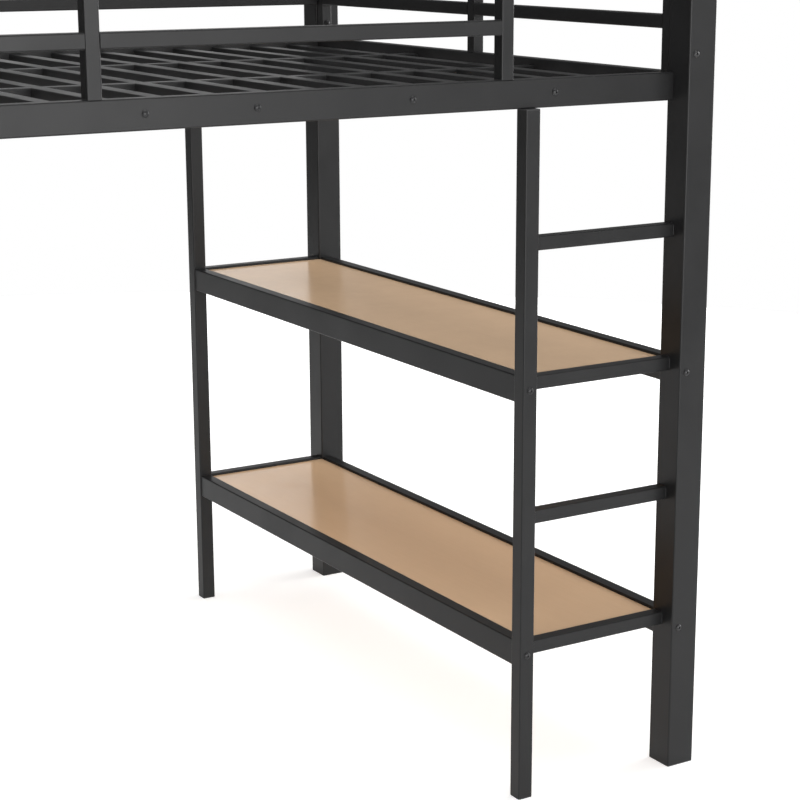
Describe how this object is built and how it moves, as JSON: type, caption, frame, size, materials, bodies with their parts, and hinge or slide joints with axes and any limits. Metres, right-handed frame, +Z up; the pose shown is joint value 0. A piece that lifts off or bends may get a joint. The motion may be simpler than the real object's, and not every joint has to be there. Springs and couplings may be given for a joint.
{
  "type": "loft bed with desk",
  "caption": "Raised bed in square steel tube with guard rails and a slatted deck, wide shelves and a ladder under one end and a desk under the other.",
  "frame": {"origin": "on the floor under the middle of the bed, at the centre of its plan", "axes": "+X along the bed's length to the shelf and ladder end, +Y to the rear, away from the ladder side, +Z up"},
  "size_m": [1.9868, 1.4368, 1.64],
  "materials": {
    "frame_powder_coat": "satin black powder coat with a fine orange-peel texture",
    "bolt_black": "black-finished steel fasteners",
    "plug_steel": "bare steel, hidden inside the tubes",
    "end_piece_plastic": "black moulded plastic",
    "board_laminate": "pale tan laminated board, semi-gloss"
  },
  "bodies": {
    "root": {"board_ledges": "frame_powder_coat", "deck_beams": "frame_powder_coat", "deck_bolts": "bolt_black", "deck_centre_bar": "frame_powder_coat", "deck_slats_left": "frame_powder_coat", "deck_slats_right": "frame_powder_coat", "desk_end_bars": "frame_powder_coat", "desk_inner_bar": "frame_powder_coat", "desk_outer_bar": "frame_powder_coat", "desk_post_front": "frame_powder_coat", "desk_post_rear": "frame_powder_coat", "desk_top": "board_laminate", "end_guard_bar_lower_left": "frame_powder_coat", "end_guard_bar_lower_right": "frame_powder_coat", "end_guard_bar_middle_left": "frame_powder_coat", "end_guard_bar_middle_right": "frame_powder_coat", "end_guard_bar_top_left": "frame_powder_coat", "end_guard_bar_top_right": "frame_powder_coat", "end_guard_uprights_left": "frame_powder_coat", "end_guard_uprights_right": "frame_powder_coat", "end_rail_left": "frame_powder_coat", "end_rail_right": "frame_powder_coat", "front_guard_bar_lower": "frame_powder_coat", "front_guard_bar_middle": "frame_powder_coat", "front_guard_bar_top": "frame_powder_coat", "front_guard_end_plug": "end_piece_plastic", "front_guard_upright_ladder": "frame_powder_coat", "front_guard_upright_left": "frame_powder_coat", "front_guard_upright_middle": "frame_powder_coat", "guard_bolts": "bolt_black", "guard_cap_nuts": "bolt_black", "ladder_rung_lower": "frame_powder_coat", "ladder_rung_upper": "frame_powder_coat", "lower_shelf_board": "board_laminate", "lower_shelf_end_bars": "frame_powder_coat", "lower_shelf_inner_bar": "frame_powder_coat", "lower_shelf_outer_bar": "frame_powder_coat", "post_caps": "end_piece_plastic", "post_feet": "end_piece_plastic", "post_front_left": "frame_powder_coat", "post_front_right": "frame_powder_coat", "post_rear_left": "frame_powder_coat", "post_rear_right": "frame_powder_coat", "rail_end_bolts": "bolt_black", "rear_guard_bar_lower": "frame_powder_coat", "rear_guard_bar_middle": "frame_powder_coat", "rear_guard_bar_top": "frame_powder_coat", "rear_guard_upright": "frame_powder_coat", "shelf_post_front": "frame_powder_coat", "shelf_post_rear": "frame_powder_coat", "side_rail_end_plates": "plug_steel", "side_rail_front": "frame_powder_coat", "side_rail_rear": "frame_powder_coat", "thin_post_end_pieces": "end_piece_plastic", "threaded_plugs": "plug_steel", "tier_bolts": "bolt_black", "upper_shelf_board": "board_laminate", "upper_shelf_end_bars": "frame_powder_coat", "upper_shelf_inner_bar": "frame_powder_coat", "upper_shelf_outer_bar": "frame_powder_coat"}
  },
  "joints": []
}
